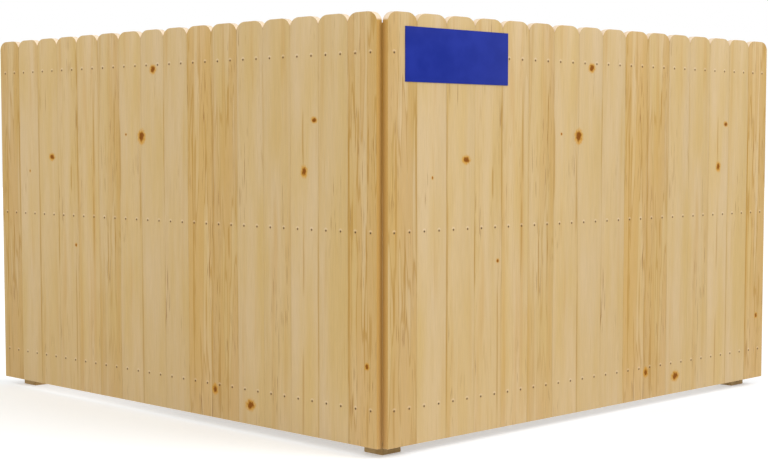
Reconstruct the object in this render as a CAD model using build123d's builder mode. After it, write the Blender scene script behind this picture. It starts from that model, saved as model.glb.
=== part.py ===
"""Corner run of stockade fence: two picket panels on backer rails, carried by three square posts.

The origin is the centre of the corner post's foot. +X runs along the right panel, +Y along the
left panel and +Z up. The show faces look towards -Y and -X. All sizes are in millimetres.
"""

import os

from build123d import *

# Pickets: full-sawn boards, butted edge to edge. The two at the corner are ripped narrower, and their back
# edges stop at a slit on either side of the corner line
picket_count = 16
picket_pitch = 152.4
picket_gap = 1.0
picket_thickness = 25.0
picket_height = 1524.0
shoulder_width = 47.0
shoulder_drop = 37.0
corner_rip = 7.0
corner_slit = 2.0

# Backer rails, with the corner batten of the same thickness that they butt against. The outer two's centre
# lines are set in from the pickets' ends, and the middle one is halfway
rail_thickness = 38.0
rail_height = 64.0
rail_end_setback = 6.0
batten_foot_rise = 20.0
batten_top_drop = 40.0
bottom_rail_rise = 131.0
top_rail_drop = 142.0

# Square posts: how far they reach under and stop short of the pickets, and their place at the ends
post_width = 94.0
post_chamfer = 3.0
post_foot_drop = 36.0
post_top_below_pickets = 85.0
end_post_overhang = 55.0

# Lag screws, driven through the posts from the yard side into the rails
lag_diameter = 8.0
lag_hole_clearance = 0.4
lag_bite = 30.0
lag_point = 6.0
lag_tip_room = 1.0
lag_stagger = 12.0
lag_head_across_flats = 13.0
lag_head_height = 5.5

# Blank sign plate on the right panel, from the corner and from the picket tops
sign_width = 547.0
sign_height = 193.0
sign_thickness = 3.0
sign_from_corner = 86.0
sign_below_tops = 48.0

# Planes that the pieces share
post_half = post_width / 2
rail_face = -(post_half + rail_thickness)
picket_face = rail_face - picket_thickness
panel_length = picket_count * picket_pitch
panel_start = rail_face + corner_slit - corner_rip
panel_end = panel_start + panel_length
rail_end = panel_end - rail_end_setback
end_post_centre = panel_end - end_post_overhang - post_half
picket_width = picket_pitch - picket_gap
picket_top = post_foot_drop + picket_height
post_top = picket_top - post_top_below_pickets
bottom_rail = post_foot_drop + bottom_rail_rise
top_rail = picket_top - top_rail_drop
rail_levels = {"bottom": bottom_rail, "middle": (bottom_rail + top_rail) / 2, "top": top_rail}

# The two panels: the right one stands on the XZ plane, the left one on the YZ plane
right_plane = Plane(origin=(0, 0, 0), x_dir=(1, 0, 0), z_dir=(0, -1, 0))
left_plane = Plane(origin=(0, 0, 0), x_dir=(0, -1, 0), z_dir=(-1, 0, 0))

os.makedirs("parts", exist_ok=True)


def save(piece, name):
    """Label a finished piece and write it to its own STEP file."""
    piece.label = name
    export_step(piece, f"parts/{name}.step")


def along(panel_plane, distance):
    """Turn a distance from the corner along a panel into that panel plane's own x."""
    return distance if panel_plane is right_plane else -distance


def make_picket(panel_plane, start, end):
    """A board with a flat top and elliptical shoulders; start is its edge nearest the corner."""
    foot = post_foot_drop
    spring = picket_top - shoulder_drop
    low = along(panel_plane, start)
    high = along(panel_plane, end)
    left, right = min(low, high), max(low, high)
    flat_left, flat_right = left + shoulder_width, right - shoulder_width
    with BuildPart() as picket:
        with BuildSketch(panel_plane.offset(-rail_face)):
            with BuildLine():
                Polyline((left, spring), (left, foot), (right, foot), (right, spring))
                EllipticalCenterArc((flat_right, spring), shoulder_width, shoulder_drop, 0, arc_size=90)
                Line((flat_right, picket_top), (flat_left, picket_top))
                EllipticalCenterArc((flat_left, spring), shoulder_width, shoulder_drop, 90, arc_size=90)
            make_face()
        extrude(amount=picket_thickness)
    return picket.part


def lag_spots(panel_plane):
    """Height of each lag screw above the ground for a panel; the two panels' screws pass each other."""
    side = 1 if panel_plane is right_plane else -1
    return [level + side * lag_stagger for level in rail_levels.values()]


def lag_axes(panel_plane, post_centres):
    """Planes with their origin on a post's yard face and Z pointing along the screw, into the rail."""
    planes = []
    for height in lag_spots(panel_plane):
        for centre in post_centres:
            across = panel_plane.x_dir * along(panel_plane, centre)
            origin = across - panel_plane.z_dir * post_half + Vector(0, 0, height)
            planes.append(Plane(origin=origin, x_dir=(0, 0, 1), z_dir=panel_plane.z_dir))
    return planes


right_lags = lag_axes(right_plane, (0, end_post_centre))
left_lags = lag_axes(left_plane, (0, end_post_centre))
lag_planes = right_lags + left_lags


def make_lag_holes(planes):
    """Clearance holes for the lag screws, deep enough to reach past each screw's point."""
    with BuildPart() as holes:
        for plane in planes:
            with BuildSketch(plane):
                Circle(lag_diameter / 2 + lag_hole_clearance)
            extrude(amount=post_width + lag_bite + lag_tip_room)
    return holes.part


def make_rail(panel_plane, start, level, lags):
    """A backer rail from start to just short of the panel's end, bored for its lag screws."""
    middle = along(panel_plane, (start + rail_end) / 2)
    holes = make_lag_holes(lags)
    with BuildPart() as rail:
        with BuildSketch(panel_plane.offset(post_half)):
            with Locations((middle, level)):
                Rectangle(rail_end - start, rail_height)
        extrude(amount=rail_thickness)
        add(holes, mode=Mode.SUBTRACT)
    return rail.part


def make_post(centre, lags):
    """A square post with eased edges, bored for its lag screws; centre is its place in plan."""
    holes = make_lag_holes(lags)
    with BuildPart() as post:
        with BuildSketch():
            with Locations(centre):
                Rectangle(post_width, post_width)
        extrude(amount=post_top)
        chamfer(post.edges().filter_by(Axis.Z), post_chamfer)
        add(holes, mode=Mode.SUBTRACT)
    return post.part


def make_corner_batten():
    """A square batten behind the corner, between the two panels' rails, that closes the corner pickets' slit."""
    middle = -(post_half + rail_thickness / 2)
    with BuildPart() as batten:
        with BuildSketch(Plane.XY.offset(post_foot_drop + batten_foot_rise)):
            with Locations((middle, middle)):
                Rectangle(rail_thickness, rail_thickness)
        extrude(amount=picket_height - batten_top_drop - batten_foot_rise)
    return batten.part


def make_lag_screws():
    """Every lag screw as its own solid: hexagon head on the post, plain shank and a point."""
    shank_radius = lag_diameter / 2
    tip = post_width + lag_bite
    with BuildPart() as screws:
        for plane in lag_planes:
            with BuildSketch(plane):
                RegularPolygon(lag_head_across_flats / 2, 6, major_radius=False)
            extrude(amount=-lag_head_height)
            half_section = Plane(origin=plane.origin, x_dir=plane.x_dir, z_dir=plane.y_dir)
            with BuildSketch(half_section):
                Polygon((0, 0), (0, -tip), (shank_radius, lag_point - tip), (shank_radius, 0), align=None)
            revolve(axis=Axis(plane.origin, plane.z_dir))
    return screws.part


def make_sign_plate():
    """A thin blank plate lying flat on the right panel's pickets."""
    middle = rail_face + sign_from_corner + sign_width / 2
    height = picket_top - sign_below_tops - sign_height / 2
    with BuildPart() as plate:
        with BuildSketch(right_plane.offset(-picket_face)):
            with Locations((middle, height)):
                Rectangle(sign_width, sign_height)
        extrude(amount=sign_thickness)
    return plate.part


# Pickets, counted from the corner outwards
for side, panel_plane in (("right", right_plane), ("left", left_plane)):
    for index in range(picket_count):
        start = panel_start + index * picket_pitch + picket_gap / 2
        end = start + picket_width
        if index == 0:
            start = rail_face + corner_slit
        save(make_picket(panel_plane, start, end), f"{side}_picket_{index + 1:02d}")

# Rails, which butt against the corner batten
for name, level in rail_levels.items():
    save(make_rail(left_plane, -post_half, level, left_lags), f"left_rail_{name}")
    save(make_rail(right_plane, -post_half, level, right_lags), f"right_rail_{name}")

save(make_corner_batten(), "corner_batten")
save(make_post((0, 0), lag_planes), "corner_post")
save(make_post((end_post_centre, 0), right_lags), "right_end_post")
save(make_post((0, end_post_centre), left_lags), "left_end_post")
save(make_lag_screws(), "rail_lag_screws")
save(make_sign_plate(), "sign_plate")
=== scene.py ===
"""Dresses the corner of a stockade fence over its CAD frame: pine pickets, rails, posts, fasteners and sign."""

import math

import bpy
from bpy.props import FloatProperty, FloatVectorProperty, IntProperty, PointerProperty
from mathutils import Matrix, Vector


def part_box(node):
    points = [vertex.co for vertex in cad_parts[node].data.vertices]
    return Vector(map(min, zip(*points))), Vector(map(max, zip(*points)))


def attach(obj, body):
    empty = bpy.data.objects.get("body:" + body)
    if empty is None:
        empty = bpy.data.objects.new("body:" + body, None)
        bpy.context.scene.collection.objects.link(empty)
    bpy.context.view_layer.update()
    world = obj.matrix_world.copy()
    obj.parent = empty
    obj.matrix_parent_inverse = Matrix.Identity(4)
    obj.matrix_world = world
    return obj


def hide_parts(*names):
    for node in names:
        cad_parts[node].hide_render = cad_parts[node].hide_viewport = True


bl_info = {
    "name": "Stockade Fence Corner",
    "version": (1, 0, 0),
    "blender": (4, 5, 0),
    "location": "View3D > Sidebar > Fence",
    "description": "Boards, rails, posts, fasteners, sign and stage of a stockade fence corner",
    "category": "Object",
}

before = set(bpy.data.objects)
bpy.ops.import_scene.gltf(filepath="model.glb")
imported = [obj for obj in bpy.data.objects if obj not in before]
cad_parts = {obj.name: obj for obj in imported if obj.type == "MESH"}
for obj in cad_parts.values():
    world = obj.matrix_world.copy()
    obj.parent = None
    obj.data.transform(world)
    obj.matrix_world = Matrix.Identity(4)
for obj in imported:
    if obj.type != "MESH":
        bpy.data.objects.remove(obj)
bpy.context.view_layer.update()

SIDES = ("right", "left")
LEVELS = ("bottom", "middle", "top")
BOARDS = 16

board_low, board_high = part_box("right_picket_02")
rail_face = board_high.y
board_front = board_low.y
board_foot = board_low.z
board_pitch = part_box("right_picket_03")[0].x - board_low.x
panel_length = BOARDS * board_pitch
panel_start = (board_low.x + board_high.x - 3 * board_pitch) / 2
panel_end = panel_start + panel_length


def centre_of(node):
    """Middle of a CAD node's box."""
    low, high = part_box(node)
    return (low + high) / 2


rail_heights = [centre_of(f"right_rail_{level}").z for level in LEVELS]
rail_gap = (rail_heights[2] - rail_heights[0]) / 2

# Edges that are rounded, and faces that are shaded as one
SHARP_EDGE = math.radians(40)
SMOOTH_UNDER = math.radians(35)

# Ends of an edge that lie closer than this, in one direction, are level in it
LEVEL_WITHIN = 1e-4

# Distance from growth ring to growth ring
BOARD_RINGS = 0.0065
TIMBER_RINGS = 0.0060

# Step between places in plan that tells one upright's grain from another's
UPRIGHT_STEP = 2.0

# Marks round a nail, as the two distances from its middle between which each fades: a painted highlight, a stain and
# a dent
NAIL_HIGHLIGHT = (0.0130, 0.0080)
NAIL_STAIN = (0.0065, 0.0028)
NAIL_DENT = (0.0045, 0.0085)

# Heights above a nail between which its painted highlight appears
HIGHLIGHT_ABOVE = (0.001, 0.006)

# The painted shade in the groove down the corner, as the places along a panel between which it begins on the brown
# walls, and the depths between which it darkens
GROOVE_SHADE_ALONG = {"right": (0.0080, 0.0068), "left": (panel_length - 0.0095, panel_length - 0.0068)}
GROOVE_SHADE_DEPTHS = (-0.021, -0.004)


# Settings that a user would change


class BoardSettings(bpy.types.PropertyGroup):
    """Shape and colours of the pickets."""

    shoulder_width: FloatProperty(
        name="Shoulder Width", description="How far each rounded shoulder reaches in", default=0.047, unit="LENGTH")
    shoulder_drop: FloatProperty(
        name="Shoulder Drop", description="How far each rounded shoulder falls", default=0.037, unit="LENGTH")
    shoulder_steps: IntProperty(
        name="Shoulder Steps", description="Facets round one shoulder", default=14, min=3)
    edge_ease: FloatProperty(
        name="Edge Ease", description="Rounding of the sawn edges", default=0.0006, unit="LENGTH")
    edge_reach: FloatProperty(
        name="Edge Reach", description="How far a board's edges are let out towards its neighbours", default=0.0004,
        unit="LENGTH")
    pale_pine: FloatVectorProperty(
        name="Pale Pine", description="Early wood", subtype="COLOR", default=(0.655, 0.490, 0.285))
    tan_pine: FloatVectorProperty(
        name="Tan Pine", description="Late wood between the early wood", subtype="COLOR",
        default=(0.620, 0.435, 0.180))
    resin_pine: FloatVectorProperty(
        name="Resin Pine", description="Orange streaks full of resin", subtype="COLOR",
        default=(0.560, 0.325, 0.090))
    resin_line: FloatVectorProperty(
        name="Resin Line", description="Long thin lines of resin", subtype="COLOR", default=(0.445, 0.240, 0.042))
    grain_line: FloatVectorProperty(
        name="Grain Line", description="Thin lines along the grain", subtype="COLOR", default=(0.490, 0.290, 0.065))
    resin_vein: FloatVectorProperty(
        name="Resin Vein", description="Thin dark veins and pockets", subtype="COLOR",
        default=(0.270, 0.115, 0.018))
    knot_heart: FloatVectorProperty(
        name="Knot Heart", description="Heart of a knot", subtype="COLOR", default=(0.235, 0.066, 0.001))
    knot_rim: FloatVectorProperty(
        name="Knot Rim", description="Wood round a knot", subtype="COLOR", default=(0.620, 0.310, 0.035))
    end_grain: FloatVectorProperty(
        name="End Grain", description="Sawn ends and shoulders", subtype="COLOR", default=(0.930, 0.760, 0.580))


class TimberSettings(bpy.types.PropertyGroup):
    """Shape and colours of the rails and posts."""

    rail_ease: FloatProperty(
        name="Rail Ease", description="Rounding of the rails' edges", default=0.003, unit="LENGTH")
    batten_ease: FloatProperty(
        name="Batten Ease", description="Rounding of the corner batten's edges", default=0.0008, unit="LENGTH")
    post_ease: FloatProperty(
        name="Post Ease", description="Rounding of the posts' edges", default=0.003, unit="LENGTH")
    rail_pale: FloatVectorProperty(
        name="Rail Pale", description="Early wood of the rails", subtype="COLOR", default=(0.660, 0.470, 0.250))
    rail_tan: FloatVectorProperty(
        name="Rail Tan", description="Late wood of the rails", subtype="COLOR", default=(0.520, 0.330, 0.135))
    post_pale: FloatVectorProperty(
        name="Post Pale", description="Early wood of the posts", subtype="COLOR", default=(0.600, 0.430, 0.215))
    post_tan: FloatVectorProperty(
        name="Post Tan", description="Late wood of the posts", subtype="COLOR", default=(0.430, 0.275, 0.110))


class FastenerSettings(bpy.types.PropertyGroup):
    """Sizes and colours of the nails, lag screws and washers."""

    nail_head: FloatProperty(
        name="Nail Head", description="Diameter of a nail's head", default=0.0058, unit="LENGTH")
    nail_proud: FloatProperty(
        name="Nail Proud", description="How far a nail's head stands off the board", default=0.0006, unit="LENGTH")
    nail_shank: FloatProperty(
        name="Nail Shank", description="Diameter of a nail's shank", default=0.0030, unit="LENGTH")
    nail_length: FloatProperty(
        name="Nail Length", description="Length of a nail under its head", default=0.050, unit="LENGTH")
    nail_spacing: FloatProperty(
        name="Nail Spacing", description="Nail to nail along a rail", default=board_pitch / 2, unit="LENGTH")
    lag_stagger: FloatProperty(
        name="Lag Stagger", description="How far a lag screw is off its rail's middle", default=0.012, unit="LENGTH")
    washer_radius: FloatProperty(
        name="Washer Radius", description="Outside of a lag screw's washer", default=0.011, unit="LENGTH")
    washer_hole: FloatProperty(
        name="Washer Hole", description="Radius of a washer's hole", default=0.0064, unit="LENGTH")
    washer_thickness: FloatProperty(
        name="Washer Thickness", description="Thickness of a washer", default=0.002, unit="LENGTH")
    zinc: FloatVectorProperty(
        name="Zinc", description="Galvanised steel", subtype="COLOR", default=(0.52, 0.52, 0.51))
    nail_steel: FloatVectorProperty(
        name="Nail Steel", description="Dull steel of the nails", subtype="COLOR", default=(0.130, 0.085, 0.045))


class SignSettings(bpy.types.PropertyGroup):
    """Finish of the blank sign plate."""

    edge_ease: FloatProperty(
        name="Edge Ease", description="Rounding of the plate's edges", default=0.0010, unit="LENGTH")
    paint: FloatVectorProperty(
        name="Paint", description="Blue enamel", subtype="COLOR", default=(0.006, 0.0205, 0.262))


class StageSettings(bpy.types.PropertyGroup):
    """Floor, light and camera."""

    floor_span: FloatProperty(
        name="Floor Span", description="Side of the floor", default=60.0, unit="LENGTH")
    floor_colour: FloatVectorProperty(
        name="Floor Colour", description="Pale floor", subtype="COLOR", default=(0.83, 0.86, 0.90))
    floor_lift: FloatProperty(
        name="Floor Lift", description="How far the floor is lifted to white where it is looked at", default=0.32)
    key_power: FloatProperty(
        name="Key Power", description="Strength of the light from the right", default=1.30)
    key_colour: FloatVectorProperty(
        name="Key Colour", description="Colour of the light from the right", subtype="COLOR",
        default=(1.0, 0.985, 0.96))
    fill_power: FloatProperty(
        name="Fill Power", description="Strength of the light from the left", default=0.97)
    fill_colour: FloatVectorProperty(
        name="Fill Colour", description="Colour of the light from the left", subtype="COLOR",
        default=(1.0, 0.95, 0.82))
    world_power: FloatProperty(
        name="World Power", description="Strength of the light from all round", default=0.60)
    camera_place: FloatVectorProperty(
        name="Camera Place", description="Where the camera stands", subtype="TRANSLATION",
        default=(-3.8861, -3.9091, 1.1070))
    camera_pitch: FloatProperty(
        name="Camera Pitch", description="How far the camera looks down", subtype="ANGLE",
        default=math.radians(3.974))
    camera_turn: FloatProperty(
        name="Camera Turn", description="Compass turn of the camera", subtype="ANGLE",
        default=math.radians(-44.889))
    camera_lens: FloatProperty(
        name="Camera Lens", description="Focal length on a 36 mm wide sensor", default=72.847)
    camera_shift: FloatProperty(
        name="Camera Shift", description="How far the picture is shifted up", default=0.0223)


# Node trees


class Finish:
    """A material whose nodes are added by short calls, each of which returns its output socket."""

    def __init__(self, name):
        self.material = bpy.data.materials.new(name)
        self.material.use_nodes = True
        self.tree = self.material.node_tree
        self.shader = self.tree.nodes["Principled BSDF"]
        self.texture_coordinate = self.tree.nodes.new("ShaderNodeTexCoord")

    def add(self, kind, inputs=(), **settings):
        """A node with its settings, and its inputs given in order as sockets or plain values."""
        node = self.tree.nodes.new(kind)
        for key, value in settings.items():
            setattr(node, key, value)
        for index, value in enumerate(inputs):
            self.feed(node.inputs[index], value)
        return node

    def feed(self, socket, value):
        """Link a socket, or set a plain value, on an input."""
        if value is None:
            return
        if isinstance(value, bpy.types.NodeSocket):
            self.tree.links.new(value, socket)
        elif isinstance(socket.default_value, float):
            socket.default_value = value
        else:
            socket.default_value = tuple(value) + (1.0,) * (len(socket.default_value) - len(value))

    def place(self, location=(0, 0, 0), rotation=(0, 0, 0)):
        """Object coordinates, turned and then moved."""
        coordinates = self.texture_coordinate.outputs["Object"]
        return self.add("ShaderNodeMapping", (coordinates, location, rotation)).outputs[0]

    def maths(self, operation, a, b=None, c=None):
        """A sum of numbers."""
        return self.add("ShaderNodeMath", (a, b, c), operation=operation).outputs[0]

    def vector(self, operation, a, b=None, c=None):
        """A sum of vectors, or a vector's length."""
        node = self.add("ShaderNodeVectorMath", (a, b, c), operation=operation)
        return node.outputs["Value" if operation == "LENGTH" else "Vector"]

    def split(self, vector):
        """The three parts of a vector."""
        return self.add("ShaderNodeSeparateXYZ", (vector,)).outputs

    def join(self, x, y, z):
        """A vector from its three parts."""
        return self.add("ShaderNodeCombineXYZ", (x, y, z)).outputs[0]

    def noise(self, vector, detail=2.0, roughness=0.5):
        """Noise about 0.5, one cell to each unit of the vector."""
        return self.add("ShaderNodeTexNoise", (vector, None, 1.0, detail, roughness)).outputs[0]

    def dice(self, number):
        """Random colour for each whole number."""
        return self.add("ShaderNodeTexWhiteNoise", (None, number), noise_dimensions="1D").outputs["Color"]

    def fade(self, value, start, end, low=0.0, high=1.0):
        """A smooth step from low at start to high at end."""
        return self.add(
            "ShaderNodeMapRange", (value, start, end, low, high), interpolation_type="SMOOTHSTEP").outputs[0]

    def mix(self, factor, a, b, blend="MIX"):
        """Colour a with colour b laid over it."""
        node = self.add("ShaderNodeMix", data_type="RGBA", blend_type=blend)
        for index, value in ((0, factor), (6, a), (7, b)):
            self.feed(node.inputs[index], value)
        return node.outputs[2]

    def shade(self, colour, amount):
        """A colour made darker or lighter by an amount."""
        return self.mix(1.0, colour, self.join(amount, amount, amount), "MULTIPLY")

    def bump(self, height, strength, depth):
        """Feed a height pattern to the shader's normal."""
        node = self.add("ShaderNodeBump", (strength, depth))
        self.feed(node.inputs["Height"], height)
        self.feed(self.shader.inputs["Normal"], node.outputs[0])

    def set(self, **sockets):
        """Values or sockets for the shader, with underscores for the spaces in its names."""
        for name, value in sockets.items():
            self.feed(self.shader.inputs[name.replace("_", " ")], value)


def growth_rings(finish, across, depth, height, chance, bulge, spacing):
    """Saw-tooth growth rings round a pith that lies off the board and leans a little along it."""
    red, green, blue = finish.add("ShaderNodeSeparateColor", (chance,)).outputs
    lean_across = finish.fade(red, 0, 1, -0.012, 0.012)
    lean_depth = finish.fade(green, 0, 1, 0.006, 0.022)
    pith_across = finish.fade(blue, 0, 1, -0.07, 0.07)
    pith_depth = finish.fade(red, 0, 1, 0.035, 0.11)
    x = finish.maths("MULTIPLY_ADD", height, lean_across, finish.maths("ADD", across, pith_across))
    y = finish.maths("MULTIPLY_ADD", height, lean_depth, finish.maths("ADD", depth, pith_depth))
    y = finish.maths("MULTIPLY_ADD", bulge, 0.016, y)
    point = finish.join(x, y, finish.maths("MULTIPLY", height, 0.05))
    scale = math.tau / (20 * spacing)
    wave = finish.add(
        "ShaderNodeTexWave", (point, scale, 4.0, 2.0, 0.35), wave_type="RINGS", rings_direction="Z",
        wave_profile="SAW")
    return wave.outputs["Fac"]


def timber_grain(finish, across, depth, height, chance, bulge, ring_spacing):
    """Patterns that every piece of pine shares, from 0 to 1 each and drawn out along the grain."""
    spot = finish.vector("MULTIPLY_ADD", chance, (40, 40, 40), finish.join(across, depth, height))
    rings = growth_rings(finish, across, depth, height, chance, bulge, ring_spacing)
    return {
        "rings": finish.maths("POWER", rings, 3.0),
        "bands": finish.noise(finish.vector("MULTIPLY", spot, (13, 13, 1.6)), 3.0),
        "flames": finish.noise(finish.vector("MULTIPLY", spot, (30, 30, 1.5)), 2.0, 0.45),
        "streaks": finish.noise(finish.vector("MULTIPLY", spot, (210, 210, 4.5)), 2.0, 0.6),
        "fibres": finish.noise(finish.vector("MULTIPLY", spot, (620, 620, 14)), 2.0, 0.6),
        "veins": finish.noise(finish.vector("MULTIPLY", spot, (300, 300, 8.5)), 1.0, 0.5),
        "clusters": finish.noise(finish.vector("MULTIPLY", spot, (14, 14, 2.8)), 1.0),
    }


def end_grain_mask(finish, axis):
    """1 on faces that cut across the grain, 0 along it."""
    normal = finish.split(finish.texture_coordinate.outputs["Normal"])[axis]
    return finish.fade(finish.maths("ABSOLUTE", normal), 0.12, 0.45)


# Knots, as (across from the panel's left edge, up from the boards' feet, half width, half height) in metres
KNOTS = (
    (0.410, 1.008, 0.0150, 0.0100),
    (1.069, 1.095, 0.0160, 0.0190),
    (1.149, 1.365, 0.0140, 0.0115),
    (2.056, 0.966, 0.0115, 0.0140),
    (2.111, 1.152, 0.0110, 0.0075),
    (1.747, 0.075, 0.0175, 0.0140),
    (1.534, 0.112, 0.0110, 0.0140),
    (0.587, 0.632, 0.0055, 0.0055),
    (2.382, 0.286, 0.0080, 0.0085),
    (0.232, 0.946, 0.0036, 0.0045),
    (0.961, 1.104, 0.0036, 0.0040),
)

# Pockets and long streaks of pitch along the grain, given in the same way
PITCH_POCKETS = (
    (2.291, 0.690, 0.0050, 0.700),
    (0.309, 0.560, 0.0052, 0.580),
    (0.147, 0.980, 0.0036, 0.270),
    (1.066, 0.320, 0.0052, 0.340),
    (0.607, 0.960, 0.0042, 0.290),
    (2.130, 0.400, 0.0034, 0.420),
    (0.587, 0.300, 0.0048, 0.300),
    (1.517, 0.220, 0.0055, 0.230),
    (0.728, 1.117, 0.0066, 0.200),
    (1.563, 0.173, 0.0078, 0.180),
    (0.047, 0.868, 0.0052, 0.250),
    (2.050, 1.090, 0.0042, 0.110),
    (0.724, 0.732, 0.0052, 0.150),
    (2.048, 0.165, 0.0050, 0.170),
    (1.057, 0.860, 0.0036, 0.170),
    (0.036, 0.148, 0.0060, 0.150),
    (2.370, 0.379, 0.0045, 0.190),
    (0.092, 0.602, 0.0045, 0.160),
    (1.218, 1.093, 0.0042, 0.160),
    (0.606, 1.380, 0.0045, 0.090),
    (2.051, 0.664, 0.0042, 0.160),
    (0.037, 0.493, 0.0060, 0.100),
    (0.918, 1.009, 0.0042, 0.150),
    (1.624, 1.200, 0.0055, 0.075),
    (0.826, 0.663, 0.0034, 0.200),
    (1.613, 0.095, 0.0050, 0.095),
    (2.388, 1.019, 0.0045, 0.120),
    (2.383, 0.073, 0.0055, 0.075),
    (2.401, 0.391, 0.0085, 0.075),
    (0.459, 0.645, 0.0036, 0.130),
    (1.623, 0.678, 0.0050, 0.065),
    (0.879, 1.148, 0.0034, 0.140),
    (0.557, 0.920, 0.0050, 0.055),
    (0.878, 0.712, 0.0038, 0.090),
    (2.379, 0.728, 0.0050, 0.060),
    (1.405, 0.740, 0.0055, 0.680),
    (1.532, 0.860, 0.0045, 0.340),
)

# Boards, counted from the panel's left edge, that are rich in resin or, below 0, poor in it
RESIN_BOARDS = ((0, 0.8), (3, 0.2), (4, 0.25), (5, 0.5), (7, -0.8), (9, 0.85), (10, 0.75), (13, -0.4), (15, 0.9))


def nearest_spot(finish, place, spots, blunt=False):
    """Distance to the nearest spot's middle, where 1 is its rim. Blunt spots keep their width to their ends."""
    nearest = None
    for along, up, half_width, half_height in spots:
        stretch = (1 / half_width, 0, 1 / half_height)
        offset = (-along / half_width, 0, -up / half_height)
        reach = finish.vector("MULTIPLY_ADD", place, stretch, offset)
        if blunt:
            reach = finish.vector("MULTIPLY", reach, reach)
        reach = finish.vector("LENGTH", reach)
        nearest = reach if nearest is None else finish.maths("MINIMUM", nearest, reach)
    return nearest


def panel_place(finish, side):
    """Place on a panel: along from its left edge, depth from the rails' face, height from the boards' feet."""
    if side == "right":
        return finish.place((-panel_start, -rail_face, -board_foot))
    return finish.place((panel_end, -rail_face, -board_foot), (0, 0, math.pi / 2))


def resin_amount(finish, board):
    """How rich in resin a board is."""
    resin = None
    for index, amount in RESIN_BOARDS:
        here = finish.maths("MULTIPLY", finish.maths("COMPARE", board, index, 0.1), amount)
        resin = here if resin is None else finish.maths("ADD", resin, here)
    return resin


def board_colour(finish, look, grain, resin, pocket, across):
    """Colour along the grain: broad bands, flames of resin and their outlines, streaks, pitch and veins."""

    def with_resin(weight, pattern):
        return finish.maths("MULTIPLY_ADD", resin, weight, pattern)

    bands = finish.fade(with_resin(0.08, grain["bands"]), 0.18, 0.80)
    colour = finish.mix(bands, look.pale_pine, look.tan_pine)
    colour = finish.mix(finish.maths("MULTIPLY", grain["rings"], 0.07), colour, look.grain_line)
    flame = finish.fade(with_resin(0.26, grain["flames"]), 0.53, 0.80, 0.0, 0.46)
    colour = finish.mix(flame, colour, look.resin_pine)
    streak = finish.fade(with_resin(0.07, grain["streaks"]), 0.60, 0.80, 0.0, 0.42)
    colour = finish.mix(streak, colour, look.grain_line)

    offset = finish.maths("ABSOLUTE", finish.maths("SUBTRACT", grain["flames"], 0.47))
    outline = finish.maths("MULTIPLY", finish.fade(offset, 0.030, 0.006), with_resin(0.54, 0.05))
    colour = finish.mix(outline, colour, look.resin_line)
    frayed = finish.maths("ADD", pocket, finish.fade(grain["streaks"], 0.3, 0.7, 0.6, -0.6))
    colour = finish.mix(finish.fade(frayed, 1.4, 0.2, 0.0, 0.58), colour, look.resin_line)

    gather = finish.fade(with_resin(0.10, grain["clusters"]), 0.55, 0.70)
    vein = finish.fade(grain["veins"], 0.62, 0.72, 0.0, 0.85)
    colour = finish.mix(finish.maths("MULTIPLY", vein, gather), colour, look.resin_vein)

    edge = finish.fade(finish.maths("ABSOLUTE", across), board_pitch * 0.455, board_pitch * 0.495)
    edge = finish.maths("MULTIPLY", edge, finish.fade(grain["clusters"], 0.40, 0.66, 0.0, 0.25))
    return finish.mix(edge, colour, look.grain_line)


def groove_painted_shade(finish, look, side, along, depth, colour):
    """Painted shade on the walls of the groove down the corner: brown near the corner, darker towards its bottom."""
    # Painted shade: the groove's walls turn brown towards the corner
    wall_shade = finish.fade(along, *GROOVE_SHADE_ALONG[side], 0.0, 0.9)
    colour = finish.mix(wall_shade, colour, look.resin_pine)
    # Painted shade: darker still towards the bottom of the groove
    bottom = finish.maths("MULTIPLY", wall_shade, finish.fade(depth, *GROOVE_SHADE_DEPTHS, 0.0, 0.32))
    return finish.mix(bottom, colour, look.resin_vein)


def nearest_nail(finish, along, height):
    """Distance to the nearest nail, and how far above it."""
    quarter = board_pitch / 4
    aside = finish.maths("ABSOLUTE", finish.maths("WRAP", along, -quarter, quarter))
    aside = finish.maths("SUBTRACT", quarter, aside)
    row = finish.maths("SUBTRACT", height, rail_heights[0] - board_foot)
    above = finish.maths("WRAP", row, -rail_gap / 2, rail_gap / 2)
    return finish.vector("LENGTH", finish.join(aside, 0.0, above)), above


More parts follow.
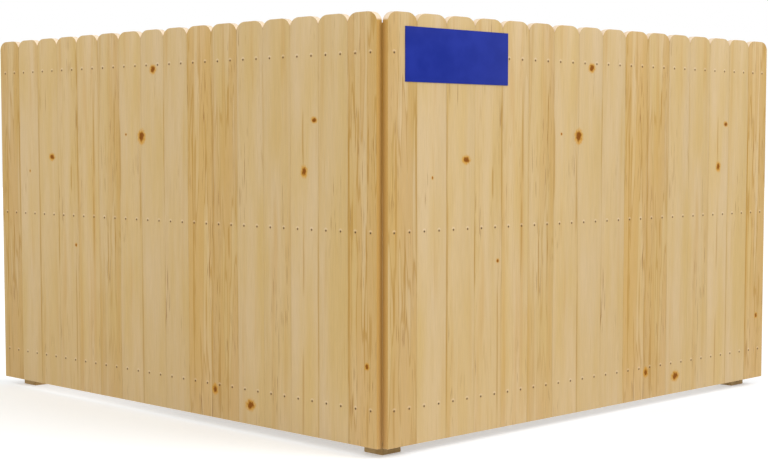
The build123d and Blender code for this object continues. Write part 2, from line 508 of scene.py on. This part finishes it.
def picket_pine(side):
    """Sawn pine of one panel's boards. Both panels show the same run of boards, left to right."""
    look = bpy.context.scene.fence_boards
    finish = Finish(f"{side}_picket_pine")
    place = panel_place(finish, side)
    along, depth, height = finish.split(place)
    board = finish.maths("FLOOR", finish.maths("DIVIDE", along, board_pitch))
    across = finish.maths("MULTIPLY_ADD", finish.maths("ADD", board, 0.5), -board_pitch, along)
    chance = finish.dice(board)
    knot = nearest_spot(finish, place, KNOTS)
    pocket = nearest_spot(finish, place, PITCH_POCKETS, blunt=True)
    grain = timber_grain(finish, across, depth, height, chance, finish.fade(knot, 4.0, 0.5), BOARD_RINGS)

    colour = board_colour(finish, look, grain, resin_amount(finish, board), pocket, across)
    # Painted shade down the groove at the corner
    colour = groove_painted_shade(finish, look, side, along, depth, colour)
    sawn = finish.mix(finish.maths("MULTIPLY", grain["rings"], 0.4), look.end_grain, look.pale_pine)
    colour = finish.mix(end_grain_mask(finish, 2), colour, sawn)
    tone = finish.fade(finish.add("ShaderNodeSeparateColor", (chance,)).outputs[1], 0, 1, 0.975, 1.025)
    fibre_tone = finish.fade(grain["fibres"], 0.25, 0.75, 0.95, 1.04)
    colour = finish.shade(colour, finish.maths("MULTIPLY", tone, fibre_tone))

    lumps = finish.noise(finish.vector("MULTIPLY", place, (95, 95, 95)), 2.0)
    ragged = finish.maths("ADD", knot, finish.fade(lumps, 0.3, 0.7, -0.22, 0.22))
    colour = finish.mix(finish.fade(ragged, 2.1, 1.0, 0.0, 0.9), colour, look.knot_rim)
    heart = finish.fade(ragged, 1.30, 0.60, 0.0, 0.95)
    colour = finish.mix(heart, colour, look.knot_heart)

    nail, above = nearest_nail(finish, along, height)
    # Painted highlight: a pale mark just above each nail, in the end grain's colour
    painted_highlight = finish.fade(above, *HIGHLIGHT_ABOVE, 0.0, 0.25)
    painted_highlight = finish.maths("MULTIPLY", finish.fade(nail, *NAIL_HIGHLIGHT), painted_highlight)
    colour = finish.mix(painted_highlight, colour, look.end_grain)
    stain = finish.maths("MULTIPLY", finish.fade(nail, *NAIL_STAIN), 0.55)
    colour = finish.mix(stain, colour, look.resin_vein)

    dent = finish.fade(nail, *NAIL_DENT)
    relief = finish.maths("MULTIPLY_ADD", grain["fibres"], 0.35, finish.maths("MULTIPLY", grain["rings"], -0.12))
    relief = finish.maths("MULTIPLY_ADD", grain["streaks"], 0.25, relief)
    relief = finish.maths("MULTIPLY_ADD", heart, -0.35, relief)
    relief = finish.maths("MULTIPLY_ADD", dent, 0.8, relief)
    finish.bump(relief, 0.35, 0.0012)
    roughness = finish.fade(grain["streaks"], 0.3, 0.7, 0.78, 0.62)
    finish.set(Base_Color=colour, Roughness=roughness, Specular_IOR_Level=0.12)
    return finish.material


def timber_pine(name, turn, grain_axis, step, pale, tan):
    """Pine of the rails or posts. Turn lays the grain along Z, and step is the distance from piece to piece."""
    look = bpy.context.scene.fence_boards
    finish = Finish(name)
    across, depth, height = finish.split(finish.place((0, 0, 0), turn))
    x, y, z = finish.split(finish.texture_coordinate.outputs["Object"])
    piece = finish.maths("MULTIPLY_ADD", y, 3.0, x) if grain_axis == 2 else z
    chance = finish.dice(finish.maths("ROUND", finish.maths("DIVIDE", piece, step)))
    grain = timber_grain(finish, across, depth, height, chance, 0.0, TIMBER_RINGS)
    colour = finish.mix(finish.fade(grain["bands"], 0.34, 0.68), pale, tan)
    colour = finish.mix(finish.maths("MULTIPLY", grain["rings"], 0.5), colour, tan)
    streak = finish.maths("MULTIPLY", finish.fade(grain["streaks"], 0.55, 0.78), 0.5)
    colour = finish.mix(streak, colour, look.resin_pine)
    vein = finish.maths("MULTIPLY", finish.fade(grain["veins"], 0.66, 0.76), 0.4)
    colour = finish.mix(vein, colour, look.resin_vein)
    ends = finish.maths("MULTIPLY", end_grain_mask(finish, grain_axis), 0.6)
    colour = finish.mix(ends, colour, look.end_grain)
    colour = finish.shade(colour, finish.fade(grain["fibres"], 0.25, 0.75, 0.90, 1.06))
    relief = finish.maths("MULTIPLY_ADD", grain["fibres"], 0.5, grain["streaks"])
    finish.bump(relief, 0.4, 0.0012)
    roughness = finish.fade(grain["streaks"], 0.3, 0.7, 0.82, 0.66)
    finish.set(Base_Color=colour, Roughness=roughness, Specular_IOR_Level=0.12)
    return finish.material


def dull_steel(name, bright):
    """Dull metal with a fine spangle."""
    finish = Finish(name)
    place = finish.place()
    spangle = finish.add("ShaderNodeTexVoronoi", (place, None, 420.0)).outputs["Distance"]
    cloud = finish.noise(finish.vector("MULTIPLY", place, (260, 260, 260)), 3.0)
    dull = tuple(0.6 * part for part in bright)
    colour = finish.mix(finish.fade(cloud, 0.35, 0.70), bright, dull)
    finish.bump(spangle, 0.12, 0.0003)
    finish.set(Base_Color=colour, Metallic=0.85, Roughness=finish.fade(spangle, 0.1, 0.7, 0.38, 0.58))
    return finish.material


def sign_enamel():
    """Blue enamel with a little orange peel, faded here and there."""
    look = bpy.context.scene.fence_sign
    finish = Finish("sign_enamel")
    place = finish.place()
    peel = finish.noise(finish.vector("MULTIPLY", place, (480, 480, 480)), 2.0)
    cloud = finish.noise(finish.vector("MULTIPLY", place, (9, 9, 9)), 3.0)
    faded = tuple(1.18 * part + 0.006 for part in look.paint)
    colour = finish.mix(finish.fade(cloud, 0.35, 0.70), look.paint, faded)
    finish.bump(peel, 0.06, 0.0004)
    finish.set(Base_Color=colour, Roughness=finish.fade(cloud, 0.3, 0.7, 0.46, 0.54), Specular_IOR_Level=0.12)
    return finish.material


# Modelling


def start_piece(name, primitive, **sizes):
    """A new primitive under its own name, with nothing else selected."""
    bpy.ops.object.select_all(action="DESELECT")
    primitive(**sizes)
    piece = bpy.context.object
    piece.name = name
    piece.data.name = name
    return piece


def start_block(name, low, high):
    """A box from corner to corner, with its place in its mesh."""
    block = start_piece(name, bpy.ops.mesh.primitive_cube_add, size=1)
    bpy.ops.transform.resize(value=high - low)
    bpy.ops.transform.translate(value=(low + high) / 2)
    bpy.ops.object.transform_apply(location=True, rotation=True, scale=True)
    return block


def edit_with(piece, mode, wanted):
    """Enter edit mode with only the edges or faces selected that the test wants."""
    bpy.ops.object.mode_set(mode="EDIT")
    bpy.ops.mesh.select_mode(type=mode)
    bpy.ops.mesh.select_all(action="DESELECT")
    bpy.ops.object.mode_set(mode="OBJECT")
    points = piece.data.vertices
    if mode == "EDGE":
        for edge in piece.data.edges:
            edge.select = wanted(*(points[index].co for index in edge.vertices))
    else:
        for face in piece.data.polygons:
            face.select = wanted(face.center, face.normal)
    chosen = piece.data.edges if mode == "EDGE" else piece.data.polygons
    if not any(part.select for part in chosen):
        raise RuntimeError(f"Nothing to shape on {piece.name}")
    bpy.ops.object.mode_set(mode="EDIT")


def leave_edit():
    """Back to object mode."""
    bpy.ops.object.mode_set(mode="OBJECT")


def ease_edges(width, segments):
    """Round every sharp edge of the active piece."""
    bpy.ops.object.mode_set(mode="EDIT")
    bpy.ops.mesh.select_mode(type="EDGE")
    bpy.ops.mesh.select_all(action="DESELECT")
    bpy.ops.mesh.edges_select_sharp(sharpness=SHARP_EDGE)
    bpy.ops.mesh.bevel(offset=width, segments=segments, affect="EDGES")
    leave_edit()
    bpy.ops.object.shade_smooth_by_angle(angle=SMOOTH_UNDER)


def copy_of(piece, name, move, turn=0.0, pivot=(0, 0, 0)):
    """A copy with its own mesh, turned about Z and then moved."""
    bpy.ops.object.select_all(action="DESELECT")
    bpy.context.view_layer.objects.active = piece
    piece.select_set(True)
    bpy.ops.object.duplicate(linked=False)
    copy = bpy.context.object
    copy.name = name
    copy.data.name = name
    if turn:
        bpy.ops.transform.rotate(value=turn, orient_axis="Z", center_override=pivot)
    bpy.ops.transform.translate(value=move)
    bpy.ops.object.transform_apply(location=True, rotation=True, scale=True)
    return copy


def joined(pieces, name):
    """Several pieces made one."""
    bpy.ops.object.select_all(action="DESELECT")
    for piece in pieces:
        piece.select_set(True)
    bpy.context.view_layer.objects.active = pieces[0]
    bpy.ops.object.join()
    pieces[0].name = name
    pieces[0].data.name = name
    return pieces[0]


def finish_piece(piece, material, slot, *nodes):
    """Give a piece its material and body, and hide the CAD nodes that it stands for. Its slot argument is not used.
    """
    piece.data.materials.clear()
    piece.data.materials.append(material)
    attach(piece, "root")
    if nodes:
        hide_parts(*nodes)


class FENCE_OT_boards(bpy.types.Operator):
    """Model one round-shouldered picket and stand its copies along both panels"""

    bl_idname = "fence.boards"
    bl_label = "Pickets"

    def execute(self, context):
        look = context.scene.fence_boards
        full = self.shape(look, "board_pattern", *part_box("right_picket_02"))
        narrow = self.shape(look, "corner_board_pattern", *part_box("right_picket_01"))
        for side in SIDES:
            material = picket_pine(side)
            turn = 0.0 if side == "right" else math.pi / 2
            for number in range(1, BOARDS + 1):
                node = f"{side}_picket_{number:02d}"
                pattern = narrow if number == 1 else full
                home = centre_of("right_picket_01" if number == 1 else "right_picket_02")
                board = copy_of(pattern, f"{side}_board_{number:02d}", centre_of(node) - home, turn, home)
                finish_piece(board, material, "picket_pine", node)
        bpy.data.objects.remove(full)
        bpy.data.objects.remove(narrow)
        return {"FINISHED"}

    def shape(self, look, name, low, high):
        """A board with elliptical shoulders: rounded while it is drawn out in height, then pressed back."""
        stretch = look.shoulder_width / look.shoulder_drop
        low = low - Vector((look.edge_reach, 0, 0))
        tall = Vector((high.x + look.edge_reach, high.y, low.z + (high.z - low.z) * stretch))
        board = start_block(name, low, tall)
        top = tall.z - LEVEL_WITHIN
        edit_with(board, "EDGE", lambda a, b: min(a.z, b.z) > top and abs(a.x - b.x) < LEVEL_WITHIN)
        bpy.ops.mesh.bevel(offset=look.shoulder_width, segments=look.shoulder_steps, affect="EDGES")
        bpy.ops.mesh.select_all(action="SELECT")
        bpy.ops.transform.resize(value=(1, 1, 1 / stretch), center_override=low)
        leave_edit()
        ease_edges(look.edge_ease, 2)
        return board


class FENCE_OT_rails(bpy.types.Operator):
    """Model the six backer rails behind the pickets, and the batten in the corner between them"""

    bl_idname = "fence.rails"
    bl_label = "Backer Rails"

    def execute(self, context):
        look = context.scene.fence_timber
        turns = {"right": ((0, math.pi / 2, 0), 0), "left": ((math.pi / 2, 0, 0), 1)}
        for side in SIDES:
            turn, axis = turns[side]
            material = timber_pine(f"{side}_rail_pine", turn, axis, rail_gap, look.rail_pale, look.rail_tan)
            for level in LEVELS:
                node = f"{side}_rail_{level}"
                rail = start_block(f"{side}_backer_{level}", *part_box(node))
                ease_edges(look.rail_ease, 3)
                finish_piece(rail, material, "rail_pine", node)
        # The batten takes darker colours than the rails as painted shade, where it shows through the slit down the
        # corner
        slit_shade_tan = context.scene.fence_boards.resin_line
        upright = timber_pine("batten_pine", (0, 0, 0), 2, UPRIGHT_STEP, look.rail_tan, slit_shade_tan)
        batten = start_block("corner_batten_timber", *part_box("corner_batten"))
        ease_edges(look.batten_ease, 2)
        finish_piece(batten, upright, "rail_pine", "corner_batten")
        return {"FINISHED"}


class FENCE_OT_posts(bpy.types.Operator):
    """Model the three square posts"""

    bl_idname = "fence.posts"
    bl_label = "Square Posts"

    def execute(self, context):
        look = context.scene.fence_timber
        material = timber_pine("post_pine", (0, 0, 0), 2, UPRIGHT_STEP, look.post_pale, look.post_tan)
        for node in ("corner_post", "right_end_post", "left_end_post"):
            post = start_block(f"{node}_timber", *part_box(node))
            ease_edges(look.post_ease, 3)
            finish_piece(post, material, "post_pine", node)
        return {"FINISHED"}


class FENCE_OT_nails(bpy.types.Operator):
    """Model one nail and drive two through each picket into each rail"""

    bl_idname = "fence.nails"
    bl_label = "Picket Nails"

    def execute(self, context):
        look = context.scene.fence_fasteners
        nail = start_piece(
            "nail_pattern", bpy.ops.mesh.primitive_cylinder_add, vertices=12, radius=look.nail_head / 2,
            depth=look.nail_proud * 2, rotation=(math.pi / 2, 0, 0))
        bpy.ops.object.transform_apply(location=True, rotation=True, scale=True)
        edit_with(nail, "FACE", lambda middle, normal: normal.y > 0.9)
        bpy.ops.mesh.inset(thickness=(look.nail_head - look.nail_shank) / 2)
        bpy.ops.mesh.extrude_region_move(TRANSFORM_OT_translate={"value": (0, look.nail_length, 0)})
        bpy.ops.mesh.merge(type="CENTER")
        leave_edit()
        edit_with(nail, "FACE", lambda middle, normal: normal.y < -0.9)
        bpy.ops.mesh.inset(thickness=look.nail_head * 0.14)
        bpy.ops.transform.translate(value=(0, -look.nail_proud * 0.5, 0))
        leave_edit()
        bpy.ops.object.shade_smooth_by_angle(angle=math.radians(50))
        array = nail.modifiers.new("row", "ARRAY")
        array.count = round(panel_length / look.nail_spacing)
        array.use_relative_offset = False
        array.use_constant_offset = True
        array.constant_offset_displace = (look.nail_spacing, 0, 0)
        bpy.ops.object.modifier_apply(modifier=array.name)
        first = panel_start + look.nail_spacing / 2
        material = dull_steel("nail_steel", look.nail_steel)
        for side in SIDES:
            for level, height in zip(LEVELS, rail_heights):
                if side == "right":
                    row = copy_of(nail, f"{side}_nails_{level}", (first, board_front, height))
                else:
                    last = panel_end - look.nail_spacing / 2
                    row = copy_of(nail, f"{side}_nails_{level}", (board_front, last, height), math.pi / 2)
                finish_piece(row, material, "galvanised_steel")
        bpy.data.objects.remove(nail)
        return {"FINISHED"}


class FENCE_OT_lags(bpy.types.Operator):
    """Finish the lag screws and model a washer under each head"""

    bl_idname = "fence.lags"
    bl_label = "Lag Screws"

    def execute(self, context):
        look = context.scene.fence_fasteners
        material = dull_steel("galvanised_steel", look.zinc)
        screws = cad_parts["rail_lag_screws"]
        screws.data.materials.clear()
        screws.data.materials.append(material)
        washer = start_piece(
            "washer_pattern", bpy.ops.mesh.primitive_cylinder_add, vertices=32, radius=look.washer_radius,
            depth=look.washer_thickness, rotation=(math.pi / 2, 0, 0))
        bpy.ops.object.transform_apply(location=True, rotation=True, scale=True)
        edit_with(washer, "FACE", lambda middle, normal: abs(normal.y) > 0.9)
        bpy.ops.mesh.inset(thickness=look.washer_radius - look.washer_hole)
        bpy.ops.mesh.bridge_edge_loops()
        leave_edit()
        ease_edges(look.washer_thickness * 0.2, 2)
        spots = []
        for side, post in (("right", "right_end_post"), ("left", "left_end_post")):
            for node in ("corner_post", post):
                middle = centre_of(node)
                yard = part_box(node)[1]
                for height in rail_heights:
                    if side == "right":
                        face = yard.y + look.washer_thickness / 2
                        spots.append((Vector((middle.x, face, height + look.lag_stagger)), 0.0))
                    else:
                        face = yard.x + look.washer_thickness / 2
                        spots.append((Vector((face, middle.y, height - look.lag_stagger)), math.pi / 2))
        copies = [copy_of(washer, f"washer_{number}", spot, turn) for number, (spot, turn) in enumerate(spots)]
        bpy.data.objects.remove(washer)
        finish_piece(joined(copies, "lag_washers"), material, "galvanised_steel")
        return {"FINISHED"}


class FENCE_OT_sign(bpy.types.Operator):
    """Model the blank blue sign plate"""

    bl_idname = "fence.sign"
    bl_label = "Sign Plate"

    def execute(self, context):
        look = context.scene.fence_sign
        plate = start_block("sign_panel", *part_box("sign_plate"))
        ease_edges(look.edge_ease, 2)
        finish_piece(plate, sign_enamel(), "sign_blue", "sign_plate")
        return {"FINISHED"}


class FENCE_OT_stage(bpy.types.Operator):
    """Lay the floor, and set up the light and the camera"""

    bl_idname = "fence.stage"
    bl_label = "Floor, Light and Camera"

    def execute(self, context):
        look = context.scene.fence_stage
        scene = context.scene
        scene.view_settings.view_transform = "Standard"
        floor = start_piece("floor", bpy.ops.mesh.primitive_plane_add, size=look.floor_span)
        floor.data.materials.append(self.floor_material(look))
        self.world(scene, look.world_power)
        self.sun("key_light", look.key_power, look.key_colour, tilt=52, turn=24, spread=30)
        self.sun("fill_light", look.fill_power, look.fill_colour, tilt=62, turn=-84, spread=70)
        bpy.ops.object.camera_add(
            location=look.camera_place, rotation=(math.pi / 2 - look.camera_pitch, 0, look.camera_turn))
        camera = context.object
        camera.data.sensor_width = 36.0
        camera.data.lens = look.camera_lens
        camera.data.shift_y = look.camera_shift
        camera.data.clip_end = look.floor_span
        scene.camera = camera
        return {"FINISHED"}

    def floor_material(self, look):
        """Pale floor that keeps the shadow and is lifted to white where it is looked at."""
        finish = Finish("floor_pale")
        finish.set(Base_Color=look.floor_colour, Roughness=0.9, Specular_IOR_Level=0.1)
        lift = finish.maths("MULTIPLY", self.seen_directly(finish.tree), look.floor_lift)
        finish.set(Emission_Color=(1, 1, 1), Emission_Strength=lift)
        return finish.material

    def seen_directly(self, tree):
        """1 where the camera, a reflection or a view through glass looks, and 0 for the light that is cast."""
        path = tree.nodes.new("ShaderNodeLightPath")
        seen = path.outputs["Is Camera Ray"]
        for ray in ("Is Glossy Ray", "Is Transmission Ray"):
            either = tree.nodes.new("ShaderNodeMath")
            either.operation = "MAXIMUM"
            tree.links.new(seen, either.inputs[0])
            tree.links.new(path.outputs[ray], either.inputs[1])
            seen = either.outputs[0]
        return seen

    def world(self, scene, power):
        """Even light from all round, white where it is looked at."""
        world = bpy.data.worlds.new("studio")
        world.use_nodes = True
        scene.world = world
        tree = world.node_tree
        light = tree.nodes["Background"]
        light.inputs["Color"].default_value = (1, 1, 1, 1)
        strength = tree.nodes.new("ShaderNodeMapRange")
        tree.links.new(self.seen_directly(tree), strength.inputs["Value"])
        strength.inputs["To Min"].default_value = power
        strength.inputs["To Max"].default_value = 1.0
        tree.links.new(strength.outputs[0], light.inputs["Strength"])

    def sun(self, name, power, colour, tilt, turn, spread):
        """A broad, soft sun. Its angles are in degrees."""
        rotation = (math.radians(tilt), 0, math.radians(turn))
        bpy.ops.object.light_add(type="SUN", location=(0, 0, 4), rotation=rotation)
        lamp = bpy.context.object
        lamp.name = name
        lamp.data.energy = power
        lamp.data.color = colour
        lamp.data.angle = math.radians(spread)


class FENCE_PT_panel(bpy.types.Panel):
    """Lists the steps that dress the fence"""

    bl_label = "Stockade Fence"
    bl_idname = "FENCE_PT_panel"
    bl_space_type = "VIEW_3D"
    bl_region_type = "UI"
    bl_category = "Fence"

    def draw(self, context):
        for operator in OPERATORS:
            self.layout.operator(operator.bl_idname)


SETTINGS = {
    "fence_boards": BoardSettings,
    "fence_timber": TimberSettings,
    "fence_fasteners": FastenerSettings,
    "fence_sign": SignSettings,
    "fence_stage": StageSettings,
}
OPERATORS = (
    FENCE_OT_boards, FENCE_OT_rails, FENCE_OT_posts, FENCE_OT_nails, FENCE_OT_lags, FENCE_OT_sign, FENCE_OT_stage)


def register():
    for name, group in SETTINGS.items():
        bpy.utils.register_class(group)
        setattr(bpy.types.Scene, name, PointerProperty(type=group))
    for cls in OPERATORS + (FENCE_PT_panel,):
        bpy.utils.register_class(cls)


def unregister():
    for cls in reversed(OPERATORS + (FENCE_PT_panel,)):
        bpy.utils.unregister_class(cls)
    for name, group in SETTINGS.items():
        delattr(bpy.types.Scene, name)
        bpy.utils.unregister_class(group)


def main():
    register()
    bpy.ops.fence.boards()
    bpy.ops.fence.rails()
    bpy.ops.fence.posts()
    bpy.ops.fence.nails()
    bpy.ops.fence.lags()
    bpy.ops.fence.sign()
    bpy.ops.fence.stage()


if __name__ == "__main__":
    main()
